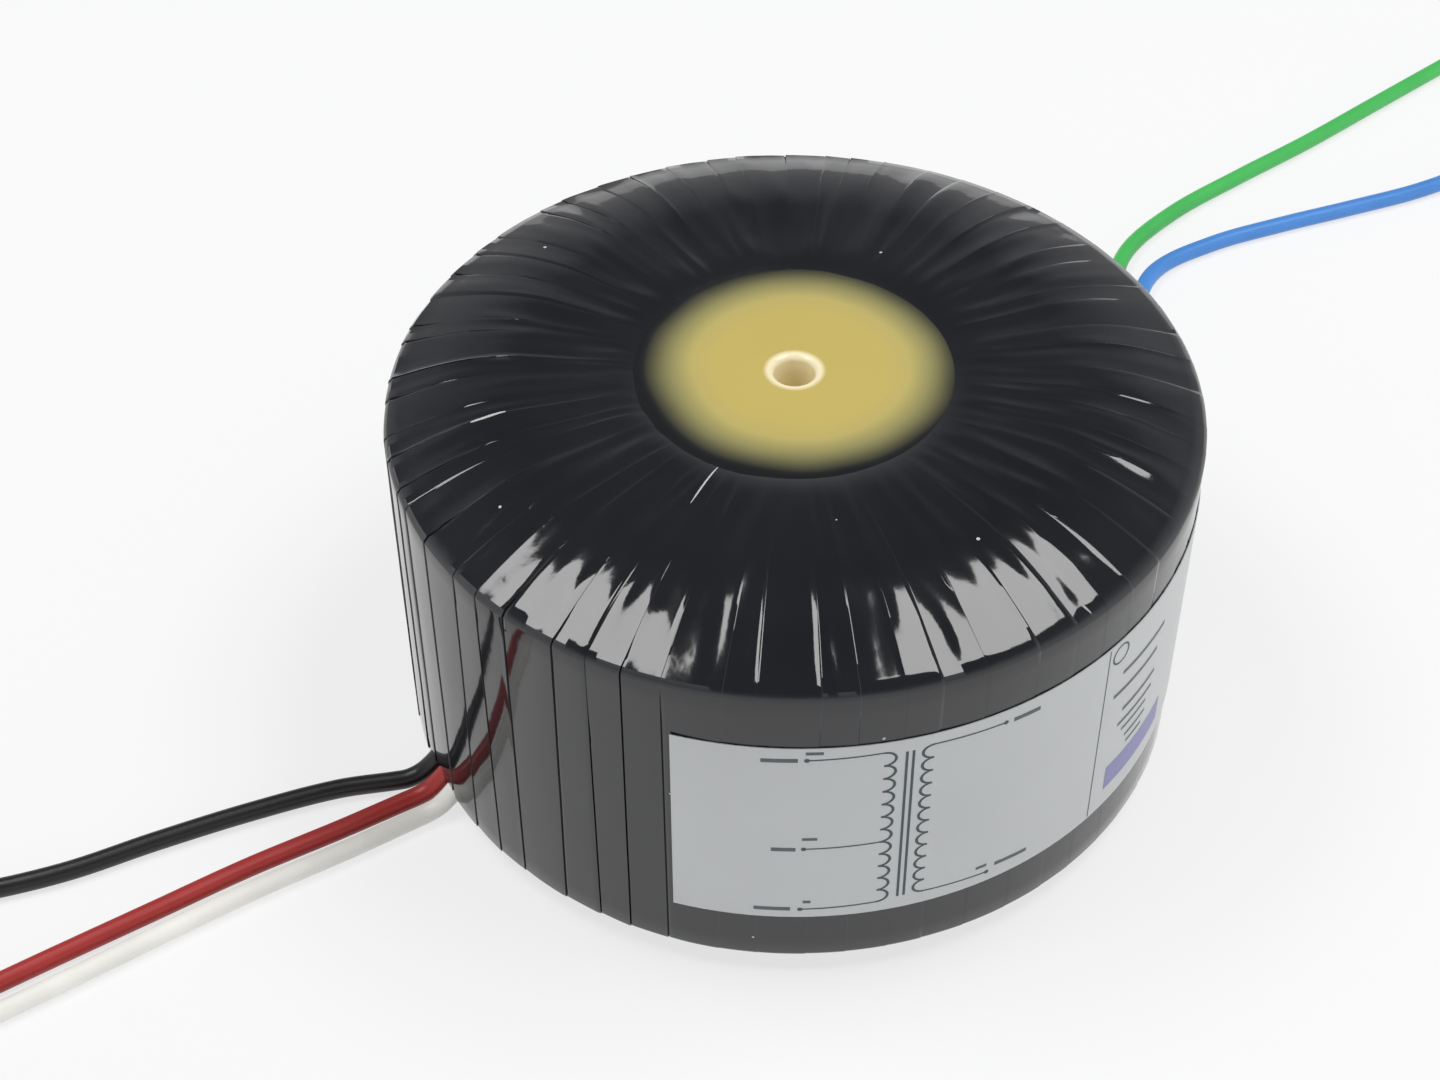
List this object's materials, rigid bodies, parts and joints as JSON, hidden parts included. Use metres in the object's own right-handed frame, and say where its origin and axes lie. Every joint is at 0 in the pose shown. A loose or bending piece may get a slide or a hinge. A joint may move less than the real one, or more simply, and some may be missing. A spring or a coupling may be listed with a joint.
{
  "type": "toroidal transformer",
  "caption": "Black tape-wrapped toroidal transformer with a resin-potted centre, a through bore for one bolt, a wrap-round label and flying leads on both sides.",
  "frame": {"origin": "centre of the resin foot that the transformer stands on, on the ring axis", "axes": "+Z along the ring axis and the mounting bore, out of the labelled wall's upper face; -Y towards the diagram end of the label; the front leads leave towards -X"},
  "size_m": [0.3515, 0.3244, 0.0699],
  "materials": {
    "core_steel": "strip-wound silicon steel, ground edge",
    "cap_plastic": "moulded insulating cap",
    "copper_wire": "enamelled round copper wire",
    "clear_film": "polyester film",
    "black_film": "black polyester tape, glossy",
    "resin": "cast yellow resin",
    "label_film": "light grey label film, satin",
    "lead_black": "extruded insulation",
    "lead_red": "extruded insulation",
    "lead_white": "extruded insulation, milky",
    "lead_green": "extruded insulation",
    "lead_blue": "extruded insulation",
    "tinned_copper": "stranded copper, tinned solid"
  },
  "bodies": {
    "root": {"core": "core_steel", "core_cap_upper": "cap_plastic", "core_cap_lower": "cap_plastic", "primary_winding": "copper_wire", "interwinding_film": "clear_film", "secondary_winding": "copper_wire", "outer_wrap": "black_film", "resin_fill": "resin", "label": "label_film", "lead_black": "lead_black", "lead_red": "lead_red", "lead_white": "lead_white", "lead_green": "lead_green", "lead_blue": "lead_blue", "tinned_end_black": "tinned_copper", "tinned_end_red": "tinned_copper", "tinned_end_white": "tinned_copper", "tinned_end_green": "tinned_copper", "tinned_end_blue": "tinned_copper"}
  },
  "joints": []
}
